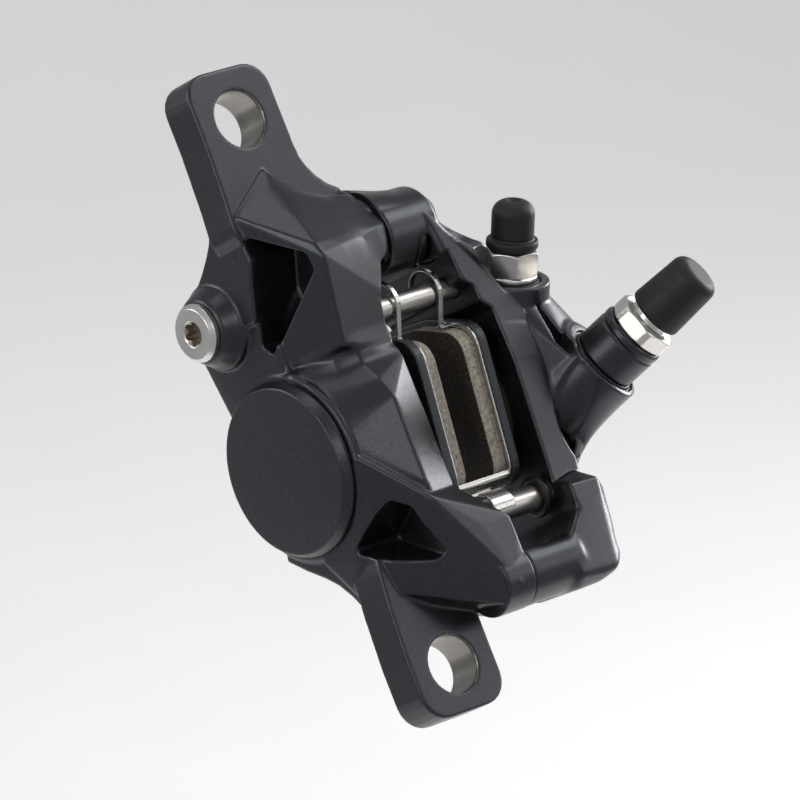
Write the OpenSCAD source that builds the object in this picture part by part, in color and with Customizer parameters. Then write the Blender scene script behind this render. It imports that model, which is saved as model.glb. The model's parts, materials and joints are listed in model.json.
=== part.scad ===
// Two-piston hydraulic disc brake caliper for post mounts.
// X runs along the rotor axis (inboard is +X), Y along the mounting bolts (+Y towards the wheel axle),
// Z along the line of the two mounting holes. The origin is the middle of the hole pattern on the mounting face.

/* [Mounting ears] */
// Distance between the two mounting holes
mount_spacing = 74; // [72:0.5:76]
// Diameter of the mounting holes
mount_hole_d = 7.6; // [6.4:0.1:8]
// Width of each ear
ear_w = 13.8; // [13:0.2:15]
// Thickness of each ear
ear_t = 5.5; // [4.5:0.1:6]
// Material beyond the upper hole's centre
upper_ear_end = 6.8; // [6:0.1:8]
// Material beyond the lower hole's centre
lower_ear_end = 6.3; // [6:0.1:8]
// Corner radius of the ears
ear_corner_r = 3.6; // [2:0.2:5]

/* [Rotor gap] */
// Distance from the bolt line to the middle of the rotor
rotor_x = 14.7; // [14.4:0.1:15]
// Radius of the rotor the caliper is made for
rotor_r = 80; // [70:1:90]
// Thickness of a new rotor
rotor_t = 1.8; // [1.6:0.1:2]
// Width of the rotor throat between the two halves
throat_w = 6.8; // [6:0.2:7.4]
// Width of the well that holds the pads
well_w = 16.6; // [16.2:0.1:17]

/* [Cylinders] */
// Piston diameter
piston_d = 20; // [18:0.1:20.4]
// Piston length
piston_len = 9.7; // [9:0.1:10]
// Radial running clearance of the pistons
piston_clear = 0.04; // [0.02:0.01:0.08]
// Width of the piston seal
seal_w = 2.2; // [1.6:0.1:2.6]
// Radial depth of the piston seal
seal_depth = 1.4; // [1:0.1:1.6]
// Diameter of the cylinder cap's face
cap_face_d = 21.2; // [20:0.1:22]
// Outer diameter of the cylinder cap
cap_d = 23; // [22.6:0.1:23.4]
// Height of the cylinder cap over its seat
cap_h = 2.1; // [1.4:0.1:3]
// Diameter of the housing rim round the cap
rim_d = 24.6; // [24.2:0.1:25.4]

/* [Pads] */
// Height of the friction block
pad_h = 20.6; // [18:0.2:21]
// Depth of the friction block
pad_depth = 20.6; // [18:0.2:21]
// Thickness of the friction material
friction_t = 2.4; // [1:0.1:2.6]
// Thickness of the backing plate
plate_t = 1.4; // [1.2:0.1:1.6]
// Gap between the two friction faces at rest
pad_gap = 4.8; // [4.4:0.1:5]
// How far the backing plate stands out round the friction block
plate_margin = 0.8; // [0.4:0.1:1]

/* [Pins and spring] */
// Diameter of the upper pad pin
axle_d = 2.9; // [2.4:0.1:3.2]
// Diameter of the lower pad pin
lower_pin_d = 3.4; // [2.8:0.1:3.6]
// Thickness of the spring strip
spring_t = 0.3; // [0.3:0.05:0.45]
// Width of the spring strip
spring_w = 0.8; // [0.6:0.1:1.2]

/* [Plug screw] */
// Diameter of the plug screw's head
plug_head_d = 7.6; // [7:0.1:8]
// Diameter of the tapered boss under the head
plug_boss_d = 8.8; // [8.4:0.1:9.4]
// Diameter of the collar at the foot of the boss
plug_collar_d = 11.4; // [10.4:0.1:12]
// Length of the tapered boss
plug_boss_len = 2.3; // [1.8:0.1:3]

/* [Bleed nipple] */
// Width across the flats of the bleed hexagon
bleed_hex_af = 6.2; // [6:0.1:6.6]
// Height of the bleed hexagon
bleed_hex_h = 3.4; // [3:0.1:4.4]
// Diameter of the bleed boss
bleed_boss_d = 10.2; // [9.4:0.1:10.8]
// Diameter of the bleed cap's dome
bleed_cap_d = 5.6; // [5.3:0.1:6]
// Height of the bleed cap
bleed_cap_h = 6.4; // [6:0.1:8]

/* [Hose port] */
// Diameter of the hose port boss
port_boss_d = 12; // [11.4:0.1:12.8]
// Diameter of the black hose sleeve
sleeve_d = 9.1; // [8.8:0.1:9.6]
// Length of the sleeve outside its boss
sleeve_len = 5.8; // [5:0.1:7]
// Width across the flats of the hose nut
nut_af = 7.9; // [7.4:0.1:8]
// Length of the hose nut's hexagon
nut_h = 2.4; // [2:0.1:3]
// Diameter of the rubber port cap
port_cap_d = 7.5; // [7:0.1:8]
// Length of the rubber port cap
port_cap_len = 8.4; // [7.5:0.1:10]

/* [Body bolts] */
// Thread diameter of the two body bolts
bolt_d = 4; // [3.5:0.5:4]
// Head diameter of the body bolts
bolt_head_d = 6.6; // [6:0.1:6.8]

/* [Hidden] */
$fn = 64;

body_color = [0.10, 0.10, 0.11];
steel_color = [0.72, 0.70, 0.67];
rubber_color = [0.07, 0.07, 0.08];
seal_color = [0.25, 0.10, 0.08];
friction_color = [0.55, 0.50, 0.43];
plate_color = [0.22, 0.24, 0.25];
brass_color = [0.75, 0.60, 0.30];

gap = 0.3;            // seat between pieces of different bodies
fit = 0.05;           // radial clearance of turned fits
edge_r = 0.5;         // small radius of the forged edges

// Cylinder axis, along X
bore_y = 2.7;
bore_z = -6.7;
well_out_x = rotor_x - well_w / 2;      // wall of the pad well in the outboard half
well_in_x = rotor_x + well_w / 2;       // wall of the pad well in the inboard half
throat_out_x = rotor_x - throat_w / 2;  // seam of the two halves
throat_in_x = rotor_x + throat_w / 2;
cap_seat_x = -6;
bore_r = piston_d / 2;
piston_r = bore_r - piston_clear;

// Pads
pad_tilt = 9.8;                          // the pads lean with the rotor's edge
pad_hinge = [-8.1, -8];                  // point on the friction block's front edge
pad_low = 9.7;                           // how far the block goes down from that point
plate_face = pad_gap / 2 + friction_t;   // distance from the rotor's middle to the plate's inner face
plate_back = plate_face + plate_t;
piston_front = plate_back + 0.05;
piston_back = piston_front + piston_len;
fluid_gap = 0.6;                         // space behind a piston that is pushed home
bore_end = piston_back + fluid_gap;
skirt_r = bore_r + 0.8;                  // threaded skirt of the cylinder cap
skirt_x = rotor_x - bore_end;            // inner end of the skirt

// Pins
axle_y = -7;
axle_z = 8.4;
lower_pin_y = -7;
lower_pin_z = -20.6;

// Rotor and its clearance
rotor_edge_y = -5.5;
rotor_mid_y = rotor_edge_y + rotor_r;
rotor_clear = 1.5;

// Body bolts
top_roll = [-6.2, 17.6];                 // middle of the upper bridge, in y and z
low_roll = [-9.2, -29.2];
top_bolt_y = top_roll[0] - 1;
top_bolt_z = top_roll[1] - 1.7;
low_bolt_y = low_roll[0] + 2;
low_bolt_z = low_roll[1];
top_tip_x = 2.6;
low_tip_x = 6.8;
top_head_x = 16.2;
low_head_x = 24.4;
bolt_head_h = 2.6;
// Fluid passage from one half to the other
cross_y = top_roll[0] - 0.4;
cross_z = top_roll[1] + 2.6;

// Plug screw
plug_y = 6;
plug_z = 13.8;
plug_collar_x = -6;
plug_foot_x = plug_collar_x - 1.1;
plug_top_x = plug_foot_x - plug_boss_len;

// Bleed nipple: its seat ring and its direction
bleed_seat = [30.5, -8, 7.15];
bleed_tilt = 32.9;
bleed_lean = 2;
// Hose port: the face of its boss and its direction
port_seat = [36, -12.7, -7.2];
port_dir = [0.45, -0.83, 0.325];
port_boss_shift = [-0.3, 0.2, 0.8];      // the boss stands a little off the port's axis

function unit(v) = v / norm(v);
function sum(v, i = 0) = i < len(v) ? v[i] + sum(v, i + 1) : 0 * v[0];
function centre(points) = sum(points) / len(points);
// A closed outline with each corner turned into an arc of radius r
function arc_corner(a, b, c, r, n) =
    let (u = unit(a - b), w = unit(c - b), half = acos(u * w) / 2, m = unit(u + w),
        o = b + m * r / sin(half), s = b + u * r / tan(half) - o, e = b + w * r / tan(half) - o,
        turn = cross(s, e) > 0 ? acos(unit(s) * unit(e)) : -acos(unit(s) * unit(e)))
    [for (i = [0 : n]) o + [s[0] * cos(turn * i / n) - s[1] * sin(turn * i / n),
        s[0] * sin(turn * i / n) + s[1] * cos(turn * i / n)]];
function rounded(points, r, n = 5) =
    [for (i = [0 : len(points) - 1])
        each arc_corner(points[(i + len(points) - 1) % len(points)], points[i], points[(i + 1) % len(points)], r, n)];

// A cylinder along X from x0 to x1, round the axis at y, z
module x_cylinder(x0, x1, y, z, r, r_end = undef) {
    translate([x0, y, z]) rotate([0, 90, 0])
        cylinder(h = x1 - x0, r1 = r, r2 = is_undef(r_end) ? r : r_end);
}
// Turned pieces: the outline holds radius and height, and the axis is X through y, z
module x_turned(x0, y, z, outline) {
    translate([x0, y, z]) rotate([0, 90, 0]) rotate_extrude() polygon(outline);
}
module along_x(x0, x1) {
    translate([x0, 0, 0]) rotate([90, 0, 90]) linear_extrude(x1 - x0) children();
}
module along_y(y0, y1) {
    translate([0, y1, 0]) rotate([90, 0, 0]) linear_extrude(y1 - y0) children();
}
// A forged block: the hull of its corners, each with a small radius
module forged(corners) {
    mid = centre(corners);
    hull() for (p = corners) translate(p + unit(mid - p) * 1.4 * edge_r) sphere(edge_r, $fn = 12);
}
module at_bleed() {
    translate(bleed_seat) rotate([bleed_tilt, bleed_lean, 0]) children();
}
module at_port() {
    d = unit(port_dir);
    translate(port_seat) rotate([0, acos(d[2]), atan2(d[1], d[0])]) children();
}
module hexagon(af, h, chamfer) {
    intersection() {
        cylinder(h = h, d = af / cos(30), $fn = 6);
        rotate_extrude() polygon([[0, 0], [af / 2, 0], [af / 2 + chamfer, chamfer * 0.6],
            [af / 2 + chamfer, h - chamfer * 0.6], [af / 2, h], [0, h]]);
    }
}

// The well that holds the pads, the throat above and below it, and the room for the rotor
module pad_well() {
    along_y(-30, 30) polygon([[well_out_x, -16.2], [well_out_x, 9.4], [well_out_x + 2, 13.6],
        [throat_out_x - 0.4, 14.7], [throat_out_x, 12.2], [throat_in_x, 12.2], [throat_in_x + 1.2, 12.8],
        [throat_in_x + 1.6, 8.5], [rotor_x + plate_back + 0.4, 7.3],
        [well_in_x - 1.6, 5.2], [well_in_x, 3.9], [well_in_x, -18.4], [well_in_x - 0.4, -24],
        [throat_in_x + 1.4, -26.8], [throat_out_x, -26.8], [throat_out_x, -22.2], [throat_out_x - 2, -19.8]]);
}
module rotor_room() {
    x_cylinder(throat_out_x, throat_in_x, rotor_mid_y, bore_z, rotor_r + rotor_clear, $fn = 180);
}
module ear(side) {
    outer = mount_spacing / 2 + (side > 0 ? upper_ear_end : lower_ear_end);
    root = side > 0 ? 1.1 : -1.4;
    along_y(-ear_t, 0)
        polygon(rounded([[-ear_w / 2 - root, side * 20], [-ear_w / 2 - root / 3, side * 27.5],
            [-ear_w / 2, side * 35], [-ear_w / 2, side * outer],
            [ear_w / 2, side * outer], [ear_w / 2, side * 31], [ear_w / 2 + 0.8, side * 20]], ear_corner_r));
}
module ear_holes() {
    for (side = [-1, 1])
        translate([0, 1, side * mount_spacing / 2]) rotate([90, 0, 0]) cylinder(h = ear_t + 2, d = mount_hole_d);
}

module body_outboard_half() {
    color(body_color) difference() {
        union() {
            ear(1);
            ear(-1);
            outboard_shoulder();
            outboard_flank();
            outboard_lower_arm();
            outboard_rear_web();
            // cylinder housing with its rim
            x_turned(cap_seat_x, bore_y, bore_z, [[0, 0], [rim_d / 2 - 0.3, 0], [rim_d / 2, 0.3], [rim_d / 2, 0.9],
                [13.6, 5], [13.6, well_out_x - cap_seat_x], [0, well_out_x - cap_seat_x]]);
            // collar and tapered boss of the plug screw
            x_turned(plug_top_x, plug_y, plug_z, [[0, 0], [plug_boss_d / 2 - 0.4, 0], [plug_boss_d / 2, 0.4],
                [plug_collar_d / 2 - 0.3, plug_boss_len], [plug_collar_d / 2, plug_boss_len + 0.3],
                [plug_collar_d / 2, plug_boss_len + 3], [0, plug_boss_len + 3]]);
        }
        pad_well();
        rotor_room();
        ear_holes();
        difference() {
            upper_pocket();
            plug_flank();
        }
        lower_pocket();
        outboard_bores();
        translate([throat_out_x, -40, -50]) cube([40, 80, 100]);
    }
}
module outboard_shoulder() {
    difference() {
        forged([[0.5, -5.2, 30.4], [-6.9, -5.5, 25.2], [8.4, -7.6, 25], [12, -10.9, 18.2], [12, -7.4, 23.6],
            [-3, -13.4, 18], [-2.8, -14, 16.2], [-2.2, -12.8, 12.5], [-2, -10.3, 4.6], [7, -9.2, 4.4],
            [7, -10.9, 9.6], [12, -9.4, 14.4],
            [-6.9, 0, 25], [3, 0, 26.4], [-5.6, 0, 5], [7, 0, 5], [12, -3.4, 14.8], [12, -4, 22.3]]);
        // hollow sweep of the block's upper edge, in front of the saddle
        along_y(-16, -ear_t) polygon([[0, 31], [0.7, 29], [1.8, 27.4], [3.4, 26.1], [5.4, 25], [8.4, 23.9],
            [9.8, 23.3], [10.8, 22.4], [11.3, 21], [13, 21], [13, 40], [0, 40]]);
    }
    // saddle that sweeps from the ear down to the seam
    along_y(-ear_t, 0) polygon([[0.5, 20], [0.5, 29.6], [3, 32], [6.9, 32], [7.1, 30], [7.6, 28.7], [8.4, 27.4],
        [9.6, 26.1], [11, 25.2], [12, 24.8], [12, 16]]);
    hull() {
        x_cylinder(9.4, 12, top_roll[0], top_roll[1] + 1.6, top_roll_r - 1.2, $fn = 32);
        x_cylinder(11, 12, -4.4, 21.4, 3.4, $fn = 32);
    }
}
module outboard_flank() {
    hull() {
        x_cylinder(cap_seat_x + 0.9, cap_seat_x + 1, bore_y, bore_z, rim_d / 2);
        for (p = [[0.4, -8.8, 3], [0.4, -11.4, -0.6], [0.6, -12.6, -3.4], [0.6, -12.4, -14.4],
                [1.2, -12, -17.4], [7, -10, 2], [7, -10, -17], [7, 8, 3], [7, 10, -14]])
            translate(p) sphere(edge_r, $fn = 12);
    }
}
module outboard_lower_arm() {
    x_cylinder(6.4, 12, low_roll[0], low_roll[1], low_roll_r + 0.1);
    forged([[-6, -9.2, -8.4], [-6, -1.5, -20.2], [-6, 4, -19], [0, -13.1, -16.4], [6.3, -13.5, -22],
        [8.3, -13.5, -26.2], [8.9, -13.5, -30.9], [6.6, -11.9, -32.6], [12.4, -12.6, -31.4], [12.4, -11.4, -32.6],
        [12.4, -12.8, -22.2], [6.6, -10.7, -16], [7.6, -5.3, -31.9], [-4.2, -5.3, -26.4], [-5.6, 0, -25.6],
        [7.4, 0, -31], [7, 8, -18], [12.4, -2, -33], [0.4, -8.6, -26.8]]);
}
module outboard_rear_web() {
    hull() {
        x_cylinder(plug_collar_x - 0.2, plug_collar_x + 0.4, plug_y, plug_z, plug_collar_d / 2 + 0.3);
        x_cylinder(3, 4, plug_y, plug_z - 1, plug_collar_d / 2 - 1);
        x_cylinder(cap_seat_x + 1, well_out_x, bore_y + 2, bore_z + 6, 6.5);
        for (x = [-6.4, 5], y = [-4.6, -0.7])
            translate([x, y, 21]) sphere(edge_r, $fn = 12);
    }
    along_x(-6.9, 3) polygon([[-5.4, 26], [-0.2, 27.4], [0.4, 25], [1.3, 23.6], [2.8, 22.2], [4.7, 20.7],
        [7.2, 19], [9.4, 16.6], [9, 12], [-5, 12]]);
    along_x(-5.4, 3) polygon([[-5.4, -28.4], [-0.3, -29], [0.6, -26.6], [1.8, -24.6], [3.5, -22.6], [5.4, -21.1],
        [8.4, -19.2], [11.4, -17], [9, -10], [-5, -14]]);
}
// The triangular pockets that lighten the outboard half
module upper_pocket() {
    along_x(-12, 0.8)
        polygon(rounded([[-5, 22.6], [-11.9, 17.3], [-11.7, 15], [-1.6, 7.4], [-0.4, 9], [-3.8, 16.4],
            [-5.3, 19.2]], 0.6));
}
// The flank of the plug screw's boss, which the pocket leaves standing
module plug_flank() {
    x_cylinder(plug_collar_x - 0.4, 1, plug_y, plug_z, plug_collar_d / 2 + 0.2, plug_collar_d / 2 + 3.6);
}
module lower_pocket() {
    along_x(-12, 1.5)
        polygon(rounded([[-2.2, -19.6], [-9.6, -15.2], [-11, -17], [-10.9, -23.6], [-9.8, -24.2]], 0.7));
}
module outboard_bores() {
    // piston bore, cap skirt and seal groove
    x_cylinder(skirt_x - 1, well_out_x + 1, bore_y, bore_z, bore_r);
    x_cylinder(cap_seat_x - 4, skirt_x, bore_y, bore_z, skirt_r + fit);
    x_cylinder(seal_out_x, seal_out_x + seal_w, bore_y, bore_z, bore_r + seal_depth);
    // threads of the body bolts
    x_cylinder(top_tip_x - 0.6, throat_out_x + 1, top_bolt_y, top_bolt_z, bolt_d / 2 + fit);
    x_cylinder(low_tip_x - 0.6, throat_out_x + 1, low_bolt_y, low_bolt_z, bolt_d / 2 + fit);
    // blind seats of the pad pins
    x_cylinder(axle_x0 - 0.1, well_out_x + 3, axle_y, axle_z, axle_d / 2 + fit);
    x_cylinder(lower_pin_x0 - 0.1, throat_out_x + 1, lower_pin_y, lower_pin_z, lower_pin_d / 2 + fit);
    // plug screw hole and the gallery from it down to the cylinder
    x_cylinder(plug_top_x - 1, plug_tip_x, plug_y, plug_z, plug_thread_r + fit);
    x_cylinder(plug_top_x - 1, plug_top_x + plug_seal_d, plug_y, plug_z, plug_thread_r + plug_seal_d);
    translate([gallery_x, plug_y, plug_z]) rotate([180, 0, 0]) cylinder(h = 14, r = gallery_r);
    // slanting drilling from the cross-over down to the cylinder
    drilling([throat_out_x + 0.2, cross_y, cross_z], [cross_foot_x, -1.4, bore_z + bore_r - 0.6]);
}
// A straight fluid drilling from one point to another
module drilling(a, b) {
    d = b - a;
    translate(a) rotate([0, acos(d[2] / norm(d)), atan2(d[1], d[0])]) cylinder(h = norm(d), r = gallery_r, $fn = 32);
}
cross_foot_x = 1.4;
seal_out_x = well_out_x - 1.4 - seal_w;
seal_in_x = well_in_x + 1.4;
axle_x0 = 1.6;
axle_x1 = well_in_x + 1.6;
lower_pin_x0 = 3.4;
lower_pin_x1 = well_in_x + 2.4;
plug_thread_r = 2.5;
plug_tip_x = -2.4;
plug_seal_d = 1;
gallery_r = 0.7;
gallery_x = plug_tip_x - 0.6;

module body_inboard_half() {
    color(body_color) difference() {
        union() {
            inboard_top_lug();
            inboard_band_top();
            inboard_band();
            inboard_low_block();
            inboard_shoulder();
            inboard_crescent();
            // cylinder housing with a domed end
            x_turned(well_in_x, bore_y, bore_z, [[0, 0], [13.4, 0], [13.4, 7.5], [10.4, 12], [0, 12.6]]);
            at_bleed() translate([0, 0, -9]) cylinder(h = 9, d = bleed_boss_d);
            translate(port_boss_shift) at_port() translate([0, 0, -9]) cylinder(h = 9, d = port_boss_d);
        }
        pad_well();
        rotor_room();
        lens_pocket();
        inboard_bores();
        translate([throat_out_x - 40, -40, -50]) cube([40, 80, 100]);
    }
}
module inboard_top_lug() {
    x_turned(throat_out_x - 1, top_roll[0], top_roll[1], [[0, 0], [top_roll_r, 0], [top_roll_r, 9.1],
        [top_roll_r - 1.6, 11.1], [0, 11.1]]);
    // rise towards the seam, where the saddle of the other half goes on
    hull() {
        x_cylinder(throat_out_x - 1, throat_out_x, -4.4, 21.4, 3.4, $fn = 32);
        x_cylinder(throat_out_x - 1, throat_out_x + 6.4, top_roll[0] + 0.6, top_roll[1] + 0.7, 4.4, $fn = 32);
    }
    x_cylinder(throat_out_x - 1, 20.4, low_roll[0], low_roll[1], low_roll_r);
}
top_roll_r = 5.2;
low_roll_r = 4.3;
module inboard_band_top() {
    forged([[17.6, -8.6, 22.4], [17.6, -11.5, 18.2], [17.6, -10.2, 14.6],
        [18.8, -10.9, 10], [18.4, -10.4, 20.8], [22.4, -9.8, 15.6], [23.2, -9.6, 9.4], [24.2, -10, 6.6],
        [19.4, -10.9, 4.6], [28.8, -10.6, 0.6], [22, -11, 0.4], [21, -2.6, 21.8], [26.6, -4.8, 16.6],
        [29.8, -4.6, 14.8], [31.6, -4.6, 12.4], [18, -2, 22],
        [18.4, 7, 14.6], [27, 8, 14.6], [30, 8, 12], [18.4, 7, 0], [31, 8, 0]]);
}
module inboard_band() {
    forged([[20, -10.9, 3], [21, -11.2, -2.8], [21, -9.8, -9.4], [21, -9.1, -16], [21, -9.6, -19.4],
        [29, -10.6, 1], [29.2, -10.8, -3], [28.4, -10, -8], [27.4, -8.9, -15], [27.6, -9.2, -19],
        [31, 0, 2], [31, 0, -18], [21, 0, 2], [21, 0, -20],
        [24, -8.6, -25], [27.6, -8.6, -25], [23.6, -3, -25], [29, -3, -25]]);
}
module inboard_low_block() {
    forged([[21.6, -12.9, -20.6], [18.6, -13.2, -32.6], [27.9, -12.4, -20.8], [29.3, -11.3, -22],
        [28.2, -11.3, -31.4], [26, -12.2, -33], [23, -11.4, -33.8], [18.6, -11.4, -33.8], [27.2, -9.4, -18.8],
        [30.4, -3, -18.8], [31, -3, -21.6], [30.4, -3, -31.4], [28.6, -3, -33.4], [17.8, -3, -33.4], [17.8, -3, -22],
        [17.8, -12.6, -26.6], [21, 4, -18], [30, 4, -18], [21, 4, -28], [29.4, 4, -28]]);
}
module inboard_shoulder() {
    hull() {
        at_bleed() translate([0, 0, -7]) cylinder(h = 5, d = bleed_boss_d - 0.8, $fn = 32);
        translate(port_boss_shift) at_port() translate([0, 0, -8]) cylinder(h = 7, d = port_boss_d - 0.6, $fn = 32);
        x_cylinder(well_in_x + 5, well_in_x + 8, bore_y, bore_z, 11.5, $fn = 32);
    }
}
module inboard_crescent() {
    forged([[28.6, -9.6, -2.6], [31.4, -9.4, -6], [33.2, -8.8, -9.6], [33.4, -8.4, -12.6], [32, -8.2, -15.6],
        [29.8, -8.2, -18], [27, -8.6, -18], [27, -8.6, -3], [34, -1, -5], [34, -1, -15], [28, -1, -18], [28, -1, -3]]);
    // web that flows from the port's boss down beside the lens
    hull() {
        translate(port_boss_shift) at_port() translate([0, 0, -8]) cylinder(h = 7, d = port_boss_d - 0.6, $fn = 32);
        for (p = [[31.4, -8.4, -2.6], [33.2, -8.2, -9.6], [33.2, -7.8, -13], [31.6, -7, -16.4], [32, 0, -16.4], [30, 0, 0]])
            translate(p) sphere(edge_r, $fn = 12);
    }
}
// The lens-shaped pocket between the band and the port boss
module lens_pocket() {
    along_y(-16, -6.4) intersection() {
        translate([22.6, -10.4]) circle(r = 9.2);
        translate([36.6, -13]) circle(r = 9.4);
    }
    // narrow valley that runs on up beside the band
    along_y(-16, -7.6) polygon([[30.2, 2.6], [29.5, -3], [30.5, -6.4], [32.4, -6.6], [31.2, -2.6], [30.9, 2.4]]);
}
module inboard_bores() {
    x_cylinder(well_in_x - 1, rotor_x + bore_end, bore_y, bore_z, bore_r);
    x_cylinder(seal_in_x, seal_in_x + seal_w, bore_y, bore_z, bore_r + seal_depth);
    for (b = [[top_bolt_y, top_bolt_z, top_head_x], [low_bolt_y, low_bolt_z, low_head_x]]) {
        x_cylinder(throat_out_x - 1, b[2] + 1, b[0], b[1], bolt_d / 2 + bolt_clear);
        x_cylinder(b[2], b[2] + 30, b[0], b[1], bolt_head_d / 2 + 0.2);
    }
    x_cylinder(throat_in_x, axle_x1 + 0.1, axle_y, axle_z, axle_d / 2 + fit);
    x_cylinder(throat_in_x, lower_pin_x1 + 0.1, lower_pin_y, lower_pin_z, lower_pin_d / 2 + fit);
    // cross-over: seat of its seal, straight drilling and slanting drilling to the cylinder
    x_cylinder(throat_out_x - 1, throat_out_x + cross_seat_h, cross_y, cross_z, cross_seat_r);
    x_cylinder(throat_out_x - 1, 20.2, cross_y, cross_z, gallery_r);
    drilling([20, cross_y, cross_z], [well_in_x + 7, -1.4, bore_z + bore_r - 0.6]);
    // bleed nipple and hose port, each with its drilling into the cylinder
    at_bleed() {
        translate([0, 0, -bleed_stem_len - 0.3]) cylinder(h = bleed_stem_len + 1, r = bleed_stem_r + fit);
        translate([0, 0, -9.4]) cylinder(h = 9, r = gallery_r);
        translate([0, 0, -0.6]) cylinder(h = 1, r = bleed_seal_r);
        cylinder(h = 16, d = bleed_boss_d + 0.2);
    }
    at_port() {
        translate([0, 0, -port_stem_len - 0.3]) cylinder(h = port_stem_len + 1, r = port_stem_r + fit);
        translate([0, 0, -10.6]) cylinder(h = 9, r = gallery_r);
        translate([0, 0, -0.8]) cylinder(h = 1, r = port_seal_r);
    }
}
bolt_clear = 0.1;
cross_seat_r = 1.7;
cross_seat_h = 0.75;
bleed_stem_r = 2.95;
bleed_stem_len = 5;
bleed_seal_r = 3.9;
port_stem_r = 3.2;
port_stem_len = 4.4;
port_seal_r = 4.2;

module body_bolts() {
    color(steel_color) for (b = [[top_bolt_y, top_bolt_z, top_head_x, top_tip_x],
        [low_bolt_y, low_bolt_z, low_head_x, low_tip_x]])
        difference() {
            union() {
                x_cylinder(b[3], b[2] + 0.1, b[0], b[1], bolt_d / 2);
                x_cylinder(b[2], b[2] + bolt_head_h, b[0], b[1], bolt_head_d / 2);
            }
            translate([b[2] + bolt_head_h - 1.8, b[0], b[1]]) rotate([0, 90, 0]) cylinder(h = 3, d = 4.6, $fn = 6);
        }
}
module cylinder_cap() {
    color(body_color) difference() {
        x_turned(cap_seat_x - cap_h, bore_y, bore_z, [[0, 0], [cap_face_d / 2, 0], [cap_d / 2, cap_h - 0.5],
            [cap_d / 2, cap_h], [skirt_r, cap_h], [skirt_r, skirt_x - cap_seat_x + cap_h],
            [0, skirt_x - cap_seat_x + cap_h]]);
        x_turned(cap_seal_x, bore_y, bore_z, [[cap_seal_r0, 0], [skirt_r + 1, 0], [skirt_r + 1, cap_seal_t],
            [cap_seal_r0, cap_seal_t]]);
        x_cylinder(skirt_x - 1.2, skirt_x + 1, bore_y, bore_z, bore_r - 3);
    }
}
cap_seal_t = 1.3;
cap_seal_r0 = skirt_r - 1.1;
cap_seal_x = skirt_x - 2.6;
module cylinder_cap_seal() {
    color(seal_color) translate([cap_seal_x + cap_seal_t / 2, bore_y, bore_z]) rotate([0, 90, 0])
        rotate_extrude() translate([cap_seal_r0 + 0.56, 0]) circle(r = 0.55, $fn = 16);
}
module piston(back_x, side) {
    translate([back_x, bore_y, bore_z]) rotate([0, side * 90, 0]) rotate_extrude()
        polygon([[0, 0], [piston_r - 0.6, 0], [piston_r, 0.6], [piston_r, piston_len - 0.4],
            [piston_r - 0.4, piston_len], [7.2, piston_len], [6.8, piston_len - 0.4], [6.8, 2.4], [0, 2.4]]);
}
module outboard_piston() {
    color([0.86, 0.84, 0.8]) piston(rotor_x - piston_back, 1);
}
module inboard_piston() {
    color([0.86, 0.84, 0.8]) piston(rotor_x + piston_back, -1);
}
module square_ring(x, w, r0, r1) {
    translate([x, bore_y, bore_z]) rotate([0, 90, 0]) rotate_extrude() polygon([[r0, 0], [r1, 0], [r1, w], [r0, w]]);
}
module outboard_piston_seal() {
    color(seal_color) square_ring(seal_out_x + 0.1, seal_w - 0.2, bore_r, bore_r + seal_depth - 0.1);
}
module inboard_piston_seal() {
    color(seal_color) square_ring(seal_in_x + 0.1, seal_w - 0.2, bore_r, bore_r + seal_depth - 0.1);
}
module crossover_seal() {
    color(seal_color) translate([throat_out_x + cross_seat_h / 2, cross_y, cross_z]) rotate([0, 90, 0])
        rotate_extrude($fn = 32) translate([gallery_r + 0.5, 0]) circle(r = cross_seat_h / 2 - 0.01, $fn = 16);
}
module plug_screw() {
    color(steel_color) difference() {
        x_turned(plug_top_x - 1.3, plug_y, plug_z, [[0, 0], [plug_head_d / 2 - 0.5, 0], [plug_head_d / 2, 0.6],
            [plug_head_d / 2, 1.3], [plug_thread_r, 1.3], [plug_thread_r, plug_tip_x - plug_top_x + 1],
            [0, plug_tip_x - plug_top_x + 1]]);
        translate([plug_top_x - 2, plug_y, plug_z]) rotate([0, 90, 0]) cylinder(h = 2.8, d = 4, $fn = 6);
    }
}
module plug_screw_seal() {
    color(seal_color) translate([plug_top_x + plug_seal_d / 2, plug_y, plug_z]) rotate([0, 90, 0])
        rotate_extrude($fn = 32) translate([plug_thread_r + plug_seal_d / 2, 0]) circle(r = plug_seal_d / 2 - 0.03, $fn = 16);
}
module pad_axle() {
    color(steel_color) difference() {
        x_turned(axle_x0, axle_y, axle_z, [[0, 0], [axle_d / 2, 0], [axle_d / 2, axle_x1 - axle_x0 - 0.8],
            [axle_d / 2 - 0.8, axle_x1 - axle_x0], [0, axle_x1 - axle_x0]]);
        for (x = loop_x)
            x_turned(x - spring_w / 2 - 0.2, axle_y, axle_z, [[axle_d / 2 - 0.15, 0], [axle_d, 0],
                [axle_d, spring_w + 0.4], [axle_d / 2 - 0.15, spring_w + 0.4]]);
    }
}
loop_x = [rotor_x - 4.3, rotor_x + 3.1];
module lower_pad_pin() {
    color(steel_color) x_turned(lower_pin_x0, lower_pin_y, lower_pin_z, [[0, 0], [lower_pin_d / 2 - 0.3, 0],
        [lower_pin_d / 2, 0.3], [lower_pin_d / 2, lower_pin_x1 - lower_pin_x0], [0, lower_pin_x1 - lower_pin_x0]]);
}
module pin_ring() {
    color(rubber_color) translate([well_in_x - 1.4, lower_pin_y, lower_pin_z]) rotate([0, 90, 0])
        rotate_extrude() translate([lower_pin_d / 2 + 0.52, 0]) circle(r = 0.5, $fn = 24);
}
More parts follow.
